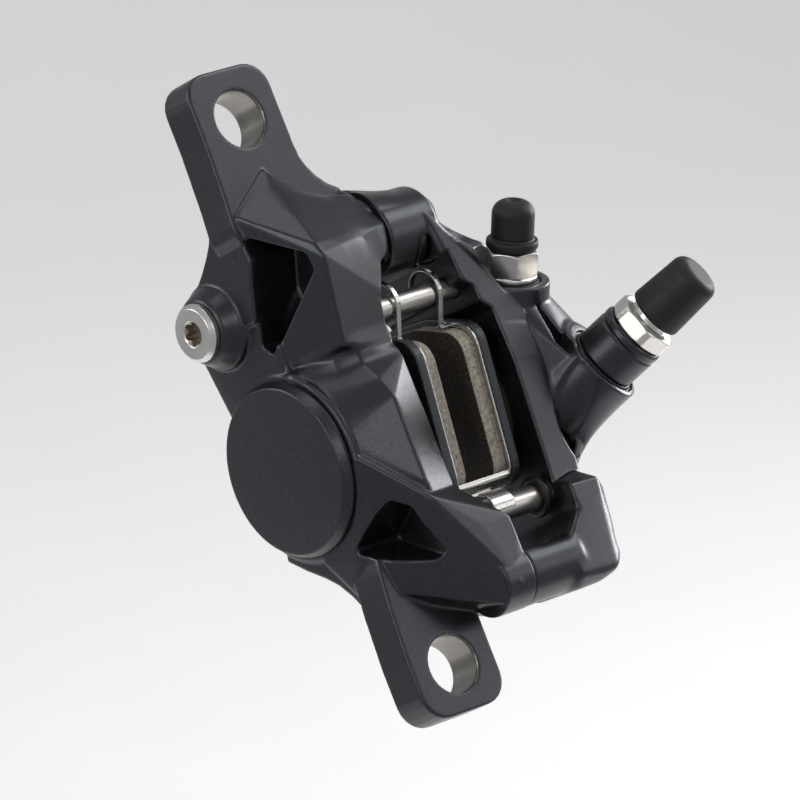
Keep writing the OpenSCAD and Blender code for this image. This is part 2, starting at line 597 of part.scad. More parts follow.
// Outline of a pad seen along X: its front edge leans with the rotor's edge
module pad_outline(grow) {
    translate(pad_hinge) rotate(pad_tilt) polygon(rounded([[-grow, -pad_low - grow],
        [pad_depth + grow, -pad_low - grow], [pad_depth + grow, pad_h - pad_low + grow],
        [pad_depth * 0.4, pad_h - pad_low + 1 + grow], [-grow, pad_h - pad_low - 0.6 + grow]], 3.2));
}
module pad_plate(x0) {
    along_x(x0, x0 + plate_t) pad_outline(plate_margin);
}
module friction(x0) {
    along_x(x0, x0 + friction_t) pad_outline(0);
}
module outboard_pad_plate() {
    color(plate_color) pad_plate(rotor_x - plate_back);
}
module inboard_pad_plate() {
    color(plate_color) pad_plate(rotor_x + plate_face);
}
module outboard_friction() {
    color(friction_color) friction(rotor_x - plate_face);
}
module inboard_friction() {
    color(friction_color) friction(rotor_x + pad_gap / 2);
}
// The spring's two frames lie round the friction blocks; its loops go over the upper pin
module pad_spring() {
    color(steel_color) {
        for (side = [-1, 1]) {
            x0 = rotor_x + side * (plate_face - spring_t / 2 - 0.02) - spring_t / 2;
            along_x(x0, x0 + spring_t) intersection() {
                difference() {
                    pad_outline(plate_margin - 0.15);
                    pad_outline(0.08);
                }
                translate([-16, -24]) square([11.4, 40]);
            }
            x = loop_x[side > 0 ? 1 : 0];
            along_x(x - spring_w / 2, x + spring_w / 2) spring_loop();
            // foot that joins the loop to its frame
            along_x(min(x0, x - spring_w / 2), max(x0 + spring_t, x + spring_w / 2)) strip([-6.9, 3.72], [-5.9, 4.1]);
        }
        along_x(rotor_x - 2.2, rotor_x + 1.5) spring_curl();
        // bridge under the blocks, between the two frames
        along_x(rotor_x - plate_face + 0.02, rotor_x + plate_face - 0.02) intersection() {
            difference() {
                pad_outline(plate_margin - 0.15);
                pad_outline(plate_margin - 0.15 - spring_t);
            }
            translate([-6.8, -24]) square([1.9, 12]);
        }
    }
}
spring_clear = 0.1;                       // gap between the spring and the pins
loop_mid = [axle_y + 0.85, axle_z + 0.6];
loop_r = 1.04 + axle_d / 2 + spring_clear;
curl_mid = [lower_pin_y + 0.1, lower_pin_z + 0.3];
curl_r = 0.32 + lower_pin_d / 2 + spring_clear;
// Ring sector in the plane of y and z, from one angle to another
module sector(r0, r1, from, to) {
    polygon([for (i = [0 : 16]) r1 * [cos(from + (to - from) * i / 16), sin(from + (to - from) * i / 16)],
        for (i = [16 : -1 : 0]) r0 * [cos(from + (to - from) * i / 16), sin(from + (to - from) * i / 16)]]);
}
module strip(a, b) {
    u = unit(b - a) * 1;
    n = [-u[1], u[0]] * spring_t / 2;
    polygon([a + n, b + n, b - n, a - n]);
}
module spring_loop() {
    translate(loop_mid) sector(loop_r, loop_r + spring_t, -10, 206);
    strip(loop_mid + (loop_r + spring_t / 2) * [cos(205), sin(205)], [-6.4, 3.9]);
}
module spring_curl() {
    translate(curl_mid) sector(curl_r, curl_r + spring_t, 62, 196);
    strip(curl_mid + (curl_r + spring_t / 2) * [cos(63), sin(63)], [-5.5, -17.3]);
}
module bleed_nipple() {
    color(steel_color) at_bleed() difference() {
        union() {
            translate([0, 0, -bleed_stem_len]) cylinder(h = bleed_stem_len, r = bleed_stem_r);
            cylinder(h = 0.6, d = bleed_hex_af + 0.6);
            translate([0, 0, 0.6]) hexagon(bleed_hex_af, bleed_hex_h, 0.5);
            translate([0, 0, 0.6 + bleed_hex_h]) cylinder(h = 4.6, r1 = 2.1, r2 = 1.7);
        }
        translate([0, 0, -2]) cylinder(h = 12, r = 0.7);
    }
}
module bleed_nipple_seal() {
    color(rubber_color) at_bleed() translate([0, 0, -0.3]) rotate_extrude()
        translate([bleed_stem_r + 0.5, 0]) circle(r = 0.28, $fn = 16);
}
module bleed_cap() {
    color(rubber_color) at_bleed() translate([0, 0, 0.7 + bleed_hex_h]) difference() {
        rotate_extrude() polygon([[0, 0], [3.1, 0], [3.4, 0.3], [3.4, 1.1], [3.1, 1.4], [bleed_cap_d / 2, 1.5],
            for (a = [0 : 10 : 90]) [bleed_cap_d / 2 - 1.8 + 1.8 * cos(a), bleed_cap_h - 1.8 + 1.8 * sin(a)],
            [0, bleed_cap_h]]);
        translate([0, 0, -0.1]) cylinder(h = 5.1, r1 = 2.3, r2 = 2);
    }
}
module hose_sleeve() {
    color(body_color) at_port() difference() {
        union() {
            translate([0, 0, -port_stem_len]) cylinder(h = port_stem_len, r = port_stem_r);
            rotate_extrude() polygon([[0, 0], [sleeve_d / 2 - 0.3, 0], [sleeve_d / 2, 0.3],
                [sleeve_d / 2, sleeve_len - 0.3], [sleeve_d / 2 - 0.3, sleeve_len], [0, sleeve_len]]);
        }
        translate([0, 0, -port_stem_len - 1]) cylinder(h = port_stem_len + sleeve_len, r = 1.2);
        translate([0, 0, 0.6]) cylinder(h = sleeve_len, r = nut_neck_r + fit);
    }
}
nut_neck_r = 2.9;
module hose_sleeve_seal() {
    color(rubber_color) at_port() translate([0, 0, -0.4]) rotate_extrude()
        translate([port_stem_r + 0.5, 0]) circle(r = 0.38, $fn = 16);
}
module hose_nut() {
    color(steel_color) at_port() difference() {
        union() {
            translate([0, 0, 2]) cylinder(h = sleeve_len - 1.6, r = nut_neck_r);
            translate([0, 0, sleeve_len + 0.05]) hexagon(nut_af, nut_h, 0.4);
            translate([0, 0, sleeve_len + nut_h]) cylinder(h = 5, r = 2.7);
        }
        translate([0, 0, 1]) cylinder(h = sleeve_len + nut_h + 8, r = 2.1);
    }
}
module hose_olive() {
    color(brass_color) at_port() difference() {
        translate([0, 0, 0.65]) cylinder(h = 1.3, r = 2.7);
        cylinder(h = 4, r = 2.1);
    }
}
module port_cap() {
    color(rubber_color) at_port() translate([0, 0, sleeve_len + nut_h + 0.9]) difference() {
        rotate_extrude() polygon([[0, 0], [port_cap_d / 2 - 0.3, 0], [port_cap_d / 2, 0.3],
            for (a = [0 : 10 : 90]) [port_cap_d / 2 - 1.7 + 1.4 * cos(a), port_cap_len - 1.4 + 1.4 * sin(a)],
            [0, port_cap_len]]);
        translate([0, 0, -0.1]) cylinder(h = 5, r = 2.8);
    }
}

body_outboard_half();
body_inboard_half();
body_bolts();
cylinder_cap();
cylinder_cap_seal();
outboard_piston();
inboard_piston();
outboard_piston_seal();
inboard_piston_seal();
crossover_seal();
plug_screw();
plug_screw_seal();
pad_axle();
lower_pad_pin();
pin_ring();
outboard_pad_plate();
inboard_pad_plate();
outboard_friction();
inboard_friction();
pad_spring();
bleed_nipple();
bleed_nipple_seal();
bleed_cap();
hose_sleeve();
hose_sleeve_seal();
hose_nut();
hose_olive();
port_cap();
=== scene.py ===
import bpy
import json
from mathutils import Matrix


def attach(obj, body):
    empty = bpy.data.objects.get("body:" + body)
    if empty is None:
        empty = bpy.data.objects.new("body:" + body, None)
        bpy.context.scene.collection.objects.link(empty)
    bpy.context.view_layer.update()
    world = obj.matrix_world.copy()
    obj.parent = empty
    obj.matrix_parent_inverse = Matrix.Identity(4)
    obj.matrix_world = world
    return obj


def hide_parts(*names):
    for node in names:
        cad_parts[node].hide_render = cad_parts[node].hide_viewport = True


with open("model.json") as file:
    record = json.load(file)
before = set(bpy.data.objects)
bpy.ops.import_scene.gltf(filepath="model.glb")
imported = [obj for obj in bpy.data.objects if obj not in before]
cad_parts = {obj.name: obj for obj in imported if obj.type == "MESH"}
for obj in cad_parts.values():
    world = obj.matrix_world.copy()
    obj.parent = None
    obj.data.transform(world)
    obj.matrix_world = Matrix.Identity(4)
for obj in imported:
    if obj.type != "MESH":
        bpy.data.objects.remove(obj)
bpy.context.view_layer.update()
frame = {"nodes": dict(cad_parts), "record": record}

import json
import math
import bpy
import numpy as np
import openvdb as vdb
from mathutils import Matrix, Vector

# Names, axes and places of the CAD, in mm
MM = 0.001
NODES = frame["nodes"]
RECORD = frame["record"]
BODY_OF = {n: b for b, ns in RECORD["behaviour"]["bodies"].items() for n in ns}
AXIS_OF = {j["name"]: j["axis"] for j in RECORD["behaviour"]["joints"]}
ANCHOR_OF = {"bleed_cap_pull": (30.5, -8, 7.15), "port_cap_pull": (36, -12.7, -7.2)}
SEAM_X, ROTOR_X = 11.3, 14.7
EAR_HOLE_Z, EAR_HOLE_R = 37, 3.8
CAP_FACE_X, CAP_Y, CAP_Z = -8.1, 2.7, -6.7
PLUG_X, PLUG_Y, PLUG_Z = -10.7, 6.0, 13.8
SLEEVE_LEN, SLEEVE_R = 5.8, 4.55

# Grid cell and edge rounding of the two body halves, in mm
CELL = 0.16
CRISP, BROAD = 0.16, 0.8


# Materials
def new_material(name):
    m = bpy.data.materials.new(name)
    m.use_nodes = True
    return m, m.node_tree.nodes, m.node_tree.links, m.node_tree.nodes["Principled BSDF"]


def node(nodes, kind, inputs=(), **attrs):
    """New node with its attributes and the values of its unlinked inputs."""
    n = nodes.new(kind)
    for k, v in attrs.items():
        setattr(n, k, v)
    for k, v in dict(inputs).items():
        n.inputs[k].default_value = v
    return n


def ramp(nodes, links, source, stops):
    """Colour ramp over source; stops are (position, colour)."""
    r = nodes.new("ShaderNodeValToRGB")
    e = r.color_ramp.elements
    while len(e) < len(stops):
        e.new(0.5)
    for i, (pos, col) in enumerate(stops):
        e[i].position = pos
        e[i].color = (*col, 1)
    links.new(source, r.inputs["Fac"])
    return r.outputs["Color"]


def grey(v):
    return (v, v, v)


def noise(nodes, links, coords, scale, detail=2.0, rough=0.5):
    n = node(nodes, "ShaderNodeTexNoise", {"Scale": scale, "Detail": detail, "Roughness": rough})
    links.new(coords, n.inputs["Vector"])
    return n.outputs["Fac"]


def coordinates(nodes, links, scale=(1, 1, 1)):
    """Object coordinates in metres, stretched by scale."""
    tc = nodes.new("ShaderNodeTexCoord")
    mp = nodes.new("ShaderNodeMapping")
    mp.inputs["Scale"].default_value = scale
    links.new(tc.outputs["Object"], mp.inputs["Vector"])
    return mp.outputs["Vector"]


def bump(nodes, links, bsdf, height, strength, distance):
    b = node(nodes, "ShaderNodeBump", {"Strength": strength, "Distance": distance})
    links.new(height, b.inputs["Height"])
    links.new(b.outputs["Normal"], bsdf.inputs["Normal"])


def satin_black(name, base=(0.0050, 0.0052, 0.0058), rough=(0.29, 0.39), grain=0.28):
    """Black anodised metal: fine blasted grain, pale specks and a faint cloudiness."""
    m, n, l, b = new_material(name)
    xyz = coordinates(n, l)
    wide = noise(n, l, xyz, 90, 3)
    fine = noise(n, l, xyz, 5200, 2, 0.6)
    specks = noise(n, l, xyz, 3400, 2, 0.6)
    tone = node(n, "ShaderNodeMix", {0: 1.0}, data_type="RGBA", blend_type="MULTIPLY")
    cloudy = ramp(n, l, wide, [(0.3, tuple(c * 6 for c in base)), (0.7, tuple(c * 9 for c in base))])
    l.new(cloudy, tone.inputs[6])
    l.new(ramp(n, l, specks, [(0.46, grey(0.1)), (0.58, grey(0.2)), (0.7, grey(0.9))]), tone.inputs[7])
    l.new(tone.outputs[2], b.inputs["Base Color"])
    l.new(ramp(n, l, fine, [(0.25, grey(rough[0])), (0.75, grey(rough[1]))]), b.inputs["Roughness"])
    b.inputs["Specular IOR Level"].default_value = 0.8
    b.inputs["Specular Tint"].default_value = (0.89, 0.93, 1.0, 1)
    bump(n, l, b, fine, grain, 0.00004)
    return m


def steel(name, base=(0.56, 0.545, 0.52), rough=(0.2, 0.3), stretch=(1, 1, 1), tint=0.9, streak=0.1):
    """Machined metal: fine lines along the axis that stretch shrinks, and a faint warm cast in patches."""
    m, n, l, b = new_material(name)
    lines = noise(n, l, coordinates(n, l, stretch), 3400, 3, 0.6)
    patch = noise(n, l, coordinates(n, l), 150, 2, 0.5)
    warm = (base[0] * tint, base[1] * tint * 0.98, base[2] * tint * 0.95)
    l.new(ramp(n, l, patch, [(0.35, warm), (0.65, base)]), b.inputs["Base Color"])
    l.new(ramp(n, l, lines, [(0.2, grey(rough[0])), (0.8, grey(rough[1]))]), b.inputs["Roughness"])
    b.inputs["Metallic"].default_value = 1.0
    bump(n, l, b, lines, streak, 0.00003)
    return m


def rubber(name, base=(0.009, 0.009, 0.010), rough=(0.5, 0.62)):
    """Matt black rubber with a fine skin."""
    m, n, l, b = new_material(name)
    xyz = coordinates(n, l)
    fine = noise(n, l, xyz, 2600, 3, 0.65)
    cloud = noise(n, l, xyz, 300, 3)
    l.new(ramp(n, l, cloud, [(0.3, base), (0.7, tuple(c * 1.6 for c in base))]), b.inputs["Base Color"])
    l.new(ramp(n, l, fine, [(0.25, grey(rough[0])), (0.75, grey(rough[1]))]), b.inputs["Roughness"])
    b.inputs["Specular IOR Level"].default_value = 0.5
    bump(n, l, b, fine, 0.12, 0.00006)
    return m


def compound(name, stops, fleck, amount):
    """Pressed friction compound: sandy grain with small metal flecks."""
    m, n, l, b = new_material(name)
    xyz = coordinates(n, l)
    grain = noise(n, l, xyz, 2100, 5, 0.7)
    flecks = node(n, "ShaderNodeTexVoronoi", {"Scale": 1700.0, "Randomness": 1.0})
    l.new(xyz, flecks.inputs["Vector"])
    shine = ramp(n, l, flecks.outputs["Distance"], [(amount, grey(1.0)), (amount + 0.05, grey(0.0))])
    mix = node(n, "ShaderNodeMix", data_type="RGBA")
    l.new(shine, mix.inputs[0])
    l.new(ramp(n, l, grain, stops), mix.inputs[6])
    mix.inputs[7].default_value = (*fleck, 1)
    l.new(mix.outputs[2], b.inputs["Base Color"])
    l.new(shine, b.inputs["Metallic"])
    b.inputs["Roughness"].default_value = 0.6
    bump(n, l, b, grain, 0.5, 0.00012)
    return m


def phenolic(name):
    """Mottled brown resin of the pistons."""
    m, n, l, b = new_material(name)
    xyz = coordinates(n, l)
    mottle = noise(n, l, xyz, 900, 4)
    fine = noise(n, l, xyz, 2500, 2)
    brown = [(0.3, (0.035, 0.027, 0.02)), (0.7, (0.07, 0.052, 0.038))]
    l.new(ramp(n, l, mottle, brown), b.inputs["Base Color"])
    l.new(ramp(n, l, fine, [(0.3, grey(0.42)), (0.7, grey(0.58))]), b.inputs["Roughness"])
    return m


BODY = satin_black("body_black")
CAP = satin_black("cap_black", base=(0.0062, 0.0065, 0.0074), rough=(0.29, 0.38), grain=0.4)
PLATE = satin_black("plate_black", base=(0.012, 0.012, 0.013), rough=(0.42, 0.55), grain=0.2)
BARE = steel(
    "bore_bare", base=(0.30, 0.285, 0.262), rough=(0.24, 0.36),
    stretch=(1, 0.06, 1), tint=0.72, streak=0.2)
STEEL = steel(
    "steel_turned", base=(0.76, 0.745, 0.72), rough=(0.28, 0.33),
    stretch=(0.12, 1, 1), streak=0.05)
HEX = steel(
    "steel_hexagon", base=(0.80, 0.775, 0.735), rough=(0.29, 0.32),
    stretch=(1, 0.5, 0.5), streak=0.015)
SOCKET = steel("steel_socket", base=(0.50, 0.45, 0.39), rough=(0.3, 0.42), tint=0.7)
PIN = steel("steel_pin", base=(0.62, 0.60, 0.57), stretch=(0.05, 1, 1), rough=(0.3, 0.42))
OXIDE = steel("steel_oxide", base=(0.045, 0.043, 0.042), rough=(0.34, 0.44), stretch=(0.3, 1, 1))
SPRING = steel("steel_spring", base=(0.58, 0.57, 0.55), rough=(0.2, 0.3))
RUBBER = rubber("rubber_black")
SEAL = rubber("seal_black", base=(0.006, 0.006, 0.007), rough=(0.42, 0.55))
TAN = [
    (0.28, (0.20, 0.165, 0.13)), (0.44, (0.46, 0.40, 0.33)),
    (0.58, (0.68, 0.62, 0.53)), (0.74, (0.86, 0.81, 0.72))]
# Painted shade: much darker tones of the friction compound for the faces towards the rotor, standing in
# for the shade between the pads
SHADE_TONES = [
    (0.28, (0.012, 0.009, 0.006)), (0.5, (0.034, 0.026, 0.018)),
    (0.64, (0.07, 0.056, 0.04)), (0.8, (0.13, 0.108, 0.08))]
FRICTION = compound("friction_compound", TAN, (0.7, 0.6, 0.46), 0.1)
# Painted shade: the darkened copy of the friction compound
FRICTION_SHADE = compound("friction_face_painted_shade", SHADE_TONES, (0.5, 0.38, 0.22), 0.09)
PISTON = phenolic("piston_resin")
BRASS = steel("olive_brass", base=(0.62, 0.44, 0.2))


# Rounded pieces from the CAD nodes
def soft_filter(a, s):
    """Gaussian blur of a dense field, s in cells."""
    r = int(math.ceil(3 * s))
    k = np.exp(-0.5 * (np.arange(-r, r + 1) / s) ** 2).astype(np.float32)
    k /= k.sum()
    for ax in range(3):
        out = np.zeros_like(a)
        n = a.shape[ax]
        for i, w in zip(range(-r, r + 1), k):
            src, dst = [slice(None)] * 3, [slice(None)] * 3
            src[ax] = slice(max(i, 0), n + min(i, 0))
            dst[ax] = slice(max(-i, 0), n - max(i, 0))
            out[tuple(dst)] += w * a[tuple(src)]
        a = out
    return a


def level_set(co, tri, h):
    """Signed distance in mm on a dense grid of cell h round a closed mesh, and the grid's first index."""
    band, rim = 8, 4
    grid = vdb.FloatGrid.createLevelSetFromPolygons(
        co.astype(np.float32),
        triangles=tri.astype(np.uint32),
        transform=vdb.createLinearTransform(voxelSize=h),
        halfWidth=band)
    lo, hi = (np.array(v) for v in grid.evalActiveVoxelBoundingBox())
    lo, hi = lo - rim, hi + rim
    a = np.full(tuple(hi - lo + 1), band * h, np.float32)
    grid.copyToArray(a, ijk=tuple(int(v) for v in lo))
    return a, lo


def surface(a, lo, h):
    """Points, triangles and quads of the field's zero surface."""
    grid = vdb.FloatGrid(float(a.max()))
    dense = np.ascontiguousarray(a, dtype=np.float32)
    grid.copyFromArray(dense, ijk=tuple(int(v) for v in lo), tolerance=0.0)
    grid.transform = vdb.createLinearTransform(voxelSize=h)
    return grid.convertToPolygons(isovalue=0.0, adaptivity=0.0)


def mesh_object(name, pts, tris, quads, material, second, chooser):
    """chooser gets face centres in mm and normals, and says which faces take the second material."""
    faces = [*map(tuple, tris.tolist()), *map(tuple, quads.tolist())]
    me = bpy.data.meshes.new(name)
    me.from_pydata((pts * MM).tolist(), [], faces)
    me.flip_normals()
    me.shade_smooth()
    me.materials.append(material)
    if second is not None:
        me.materials.append(second)
        centre = np.zeros(len(me.polygons) * 3, np.float32)
        normal = np.zeros(len(me.polygons) * 3, np.float32)
        me.polygons.foreach_get("center", centre)
        me.polygons.foreach_get("normal", normal)
        pick = chooser(centre.reshape(-1, 3) / MM, normal.reshape(-1, 3))
        me.polygons.foreach_set("material_index", pick.astype(np.int32))
        me.update()
    o = bpy.data.objects.new(name, me)
    bpy.context.scene.collection.objects.link(o)
    return o


def node_mesh(n):
    """Welded points in mm and triangles of a CAD node."""
    me = NODES[n].data
    me.calc_loop_triangles()
    co = np.zeros(len(me.vertices) * 3, np.float32)
    me.vertices.foreach_get("co", co)
    tri = np.zeros(len(me.loop_triangles) * 3, np.int32)
    me.loop_triangles.foreach_get("vertices", tri)
    co = co.reshape(-1, 3) / MM
    keys, inv = np.unique(np.round(co, 4), axis=0, return_inverse=True)
    return keys, inv.reshape(-1)[tri].reshape(-1, 3)


def spread_max(a, r):
    """Largest value within r cells along each axis."""
    for ax in range(3):
        out = a.copy()
        n = a.shape[ax]
        step = 1
        left = r
        while left > 0:
            step = min(step, left)
            for s in (step, -step):
                src, dst = [slice(None)] * 3, [slice(None)] * 3
                src[ax] = slice(max(s, 0), n + min(s, 0))
                dst[ax] = slice(max(-s, 0), n - max(s, 0))
                wider = out.copy()
                wider[tuple(dst)] = np.maximum(out[tuple(dst)], out[tuple(src)])
                out = wider
            left -= step
            step *= 2
        a = out
    return a


def blend_soft(a, h, soft, wide):
    """Rounds true edges by soft, and melts the shallow creases between neighbouring faces by wide."""
    crisp = soft_filter(a, soft / h)
    broad = soft_filter(a, wide / h)
    near = spread_max(np.abs(broad - crisp), int(round(1.6 * wide / h)))
    low, span = 0.15, 0.13
    t = np.clip((soft_filter(near, 2) - low) / span, 0, 1)
    return broad + (crisp - broad) * (t * t * (3 - 2 * t))


def rounded_node(n, material, h, soft, wide=None, carve=None, second=None, chooser=None):
    """Stands in for CAD node n: its own form with rounded edges, and carve's detail on top."""
    co, tri = node_mesh(n)
    a, lo = level_set(co, tri, h)
    a = soft_filter(a, soft / h) if wide is None else blend_soft(a, h, soft, wide)
    if carve is not None:
        x, y, z = (((lo[i] + np.arange(a.shape[i])) * h).astype(np.float32) for i in range(3))
        a = carve(a, x[:, None, None], y[None, :, None], z[None, None, :])
    o = mesh_object(n + "_finish", *surface(a, lo, h), material, second, chooser)
    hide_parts(n)
    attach(o, BODY_OF[n])


# Carving of the small pieces and the tools for it
def dome_cap(a, x, y, z):
    """The cap's outer face bulges a little, as a turned face does."""
    bulge, rim_r2 = 0.42, 112.0
    r2 = (y - CAP_Y) ** 2 + (z - CAP_Z) ** 2
    return np.maximum(a, (CAP_FACE_X + bulge * r2 / rim_r2) - x)


def six_lobes(a, x, y, z):
    """Fills the plug screw's socket and sinks a six-lobed one instead."""
    dy, dz, deep = y - PLUG_Y, z - PLUG_Z, x - PLUG_X
    r, t = np.hypot(dy, dz), np.arctan2(dz, dy)
    a = np.minimum(a, np.maximum(r - 2.6, np.abs(deep - 1.0) - 1.0))
    lobes = r - (1.42 + 0.2 * np.cos(6 * t))
    cone = r - (1.75 - 1.2 * deep)
    pit = np.maximum(np.minimum(lobes, cone), deep - 1.5)
    return np.maximum(a, -pit * 0.8)


def axis_grid(joint, x, y, z):
    """Distance along a joint's axis from its own start, and distance from the axis, in mm."""
    d = Vector(AXIS_OF[joint]).normalized()
    p = Vector(ANCHOR_OF[joint])
    along = (x - p[0]) * d[0] + (y - p[1]) * d[1] + (z - p[2]) * d[2]
    r2 = (x - p[0]) ** 2 + (y - p[1]) ** 2 + (z - p[2]) ** 2 - along ** 2
    return along, np.sqrt(np.maximum(r2, 0))


def torus(along, r, at, ring, thick):
    """Distance to a ring of radius ring round the axis, thick in section."""
    return np.hypot(along - at, r - ring) - thick


def cap_details(a, x, y, z):
    """Dimple in the rubber cap's dome and the rings of its collar."""
    along, r = axis_grid("bleed_cap_pull", x, y, z)
    dimple = np.hypot(along - 11.3, r) - 1.2
    groove = torus(along, r, 5.65, 3.05, 0.3)
    return np.maximum(a, np.maximum(-dimple, -groove))


def sleeve_details(a, x, y, z):
    """Turned groove near the outer end of the hose sleeve."""
    along, r = axis_grid("port_cap_pull", x, y, z)
    return np.maximum(a, -torus(along, r, SLEEVE_LEN - 1.3, SLEEVE_R + 0.12, 0.3))


def melt(a, b, k):
    """Union of two fields with a fillet of about k mm."""
    t = np.maximum(k - np.abs(a - b), 0) / k
    return np.minimum(a, b) - t * t * k * 0.25


def bar(x, y, z, p, q, r0, r1):
    """Distance to a round bar from p to q whose radius goes from r0 to r1."""
    d = Vector(q) - Vector(p)
    t = np.clip(((x - p[0]) * d[0] + (y - p[1]) * d[1] + (z - p[2]) * d[2]) / d.length_squared, 0, 1)
    gap = np.sqrt((x - p[0] - t * d[0]) ** 2 + (y - p[1] - t * d[1]) ** 2 + (z - p[2] - t * d[2]) ** 2)
    return gap - (r0 + (r1 - r0) * t)


def soften(a, x, y, z, p, q, near, far, size, limits=()):
    """Rounds the form to about size mm within near mm of the line p to q, fading out at far mm.

    A limit is (axis, where the rounding starts, where it is full)."""
    spans = [(min(u, v) - far - 3 * size, max(u, v) + far + 3 * size) for u, v in zip(p, q)]
    cut = tuple(slice(*np.searchsorted(c.ravel(), s)) for c, s in zip((x, y, z), spans))
    near_axes = (x[cut[0]], y[:, cut[1]], z[:, :, cut[2]])
    w = np.clip((far - bar(*near_axes, p, q, 0, 0)) / (far - near), 0, 1)
    for axis, start, full in limits:
        w = w * np.clip((near_axes[axis] - start) / (full - start), 0, 1)
    part = a[cut]
    a = a.copy()
    a[cut] = part + (soft_filter(part, size / CELL) - part) * w
    return a


# Carving of the two body halves
def inboard_flow(a, x, y, z):
    """Forged transitions of the inboard half: roll at the seam, shoulder between the bosses, lens rim."""
    roll_len, seam_gap = 6, 0.03
    t = np.clip((x - SEAM_X) / roll_len, 0, 1)
    roll = np.hypot(y + 5.9 + 0.3 * t, z - 18.8 + 1.2 * t) - (5.05 + 0.1 * t)
    roll = np.maximum(roll, np.maximum(SEAM_X + seam_gap - x, x - SEAM_X - roll_len))
    a = np.minimum(a, roll)
    bleed, _ = axis_grid("bleed_cap_pull", x, y, z)
    port, ring = axis_grid("port_cap_pull", x, y, z)
    shoulder = bar(x, y, z, (30.6, -4.8, 2.0), (33.4, -6.0, -7.0), 4.8, 5.9)
    web = bar(x, y, z, (33.4, -5.4, -9.2), (30.4, -4.0, -16.2), 5.2, 2.8)
    extra = melt(shoulder, web, 2.0)
    extra = np.maximum(extra, np.maximum(bleed + 2.2, port + 1.0))
    extra = np.maximum(extra, 27.6 - x)
    a = melt(a, extra, 1.6)
    lens = np.maximum(np.hypot(x - 22.6, z + 10.4) - 8.3, np.hypot(x - 36.6, z + 13) - 9.4)
    lens = np.maximum(lens, y + 6.6)
    a = np.maximum(a, -lens)
    boss = np.maximum(ring - 5.75, np.abs(port + 4.6) - 4.4)
    a = melt(a, boss, 0.8)
    seat = np.maximum(np.abs(port + 0.1) - 0.25, np.abs(ring - 4.9) - 0.2)
    a = np.maximum(a, -seat)
    limits = ((2, -22.5, -24.5), (0, 12.2, 13.4))
    return soften(a, x, y, z, (23, -12, -27), (23, -4, -27), 8, 10, 0.45, limits)


def outboard_flow(a, x, y, z):
    """Forged transitions of the outboard half: flowing shoulder, filled groove over the cylinder."""
    limits = ((1, -6.0, -7.2), (0, 9.4, 6.4))
    a = soften(a, x, y, z, (-0.5, -7.0, 28.5), (8.0, -10.9, 20.0), 3.5, 7.5, 1.2, limits)
    well_wall_x = 6.3
    steps = (
        ((-5.0, -3.2, 3.4), 0.6), ((-1.2, -7.0, 3.6), 1.4),
        ((0.7, -8.5, 4.2), 1.5), ((5.6, -8.2, 3.6), 1.6))
    fill = x - well_wall_x
    near = [bar(x, y, z, p, q, r0, r1) for (p, r0), (q, r1) in zip(steps, steps[1:])]
    fill = np.maximum(np.minimum(np.minimum(near[0], near[1]), near[2]), fill)
    return melt(a, fill, 1.8)


def short_bridge(a, x, y, z):
    """The spring's bridge shows only its rear part between the pads."""
    inside = np.maximum(np.abs(x - ROTOR_X) - 3.0, np.maximum(y + 5.7, z + 17.6))
    inside = np.maximum(inside, -7.2 - y)
    return np.maximum(a, -inside)


# Faces that take the second material
def ear_bore(centre, normal):
    r = np.hypot(centre[:, 0], np.abs(centre[:, 2]) - EAR_HOLE_Z)
    return (r < EAR_HOLE_R + 0.25) & (np.abs(normal[:, 1]) < 0.8)


# Friction faces towards the rotor, which take the painted shade
def rotor_face(centre, normal):
    return np.abs(normal[:, 0]) > 0.75


def socket_wall(centre, normal):
    r = np.hypot(centre[:, 1] - PLUG_Y, centre[:, 2] - PLUG_Z)
    return (r < 1.8) & (centre[:, 0] > PLUG_X + 0.12)


# Pieces
rounded_node("body_outboard_half", BODY, CELL, CRISP, BROAD, outboard_flow, BARE, ear_bore)
rounded_node("body_inboard_half", BODY, CELL, CRISP, BROAD, inboard_flow)
# Material, grid cell, edge rounding, broad rounding, carving, second material and its faces
SMALL = {
    "cylinder_cap": (CAP, 0.12, 0.09, None, dome_cap),
    "plug_screw": (STEEL, 0.05, 0.06, None, six_lobes, SOCKET, socket_wall),
    "bleed_nipple": (HEX, 0.06, 0.06),
    "bleed_cap": (RUBBER, 0.08, 0.1, None, cap_details),
    "hose_sleeve": (BODY, 0.08, 0.08, None, sleeve_details),
    "hose_nut": (HEX, 0.07, 0.07),
    "port_cap": (RUBBER, 0.09, 0.14),
    "pad_axle": (PIN, 0.07, 0.06),
    "lower_pad_pin": (PIN, 0.07, 0.06),
    "pad_spring": (SPRING, 0.06, 0.05, None, short_bridge),
    "outboard_pad_plate": (PLATE, 0.1, 0.1),
    "inboard_pad_plate": (PLATE, 0.1, 0.1),
    # The friction faces towards the rotor take the painted-shade copy of the compound
    "outboard_friction": (FRICTION, 0.1, 0.1, None, None, FRICTION_SHADE, rotor_face),
    "inboard_friction": (FRICTION, 0.1, 0.1, None, None, FRICTION_SHADE, rotor_face),
    "body_bolts": (OXIDE, 0.1, 0.08),
}
for n, args in SMALL.items():
    rounded_node(n, *args)
INNER = {"outboard_piston": PISTON, "inboard_piston": PISTON, "hose_olive": BRASS}
for n, o in NODES.items():
    if n in SMALL or n.startswith("body_"):
        continue
    o.data.materials.clear()
    o.data.materials.append(INNER.get(n, SEAL))
    o.data.shade_smooth()

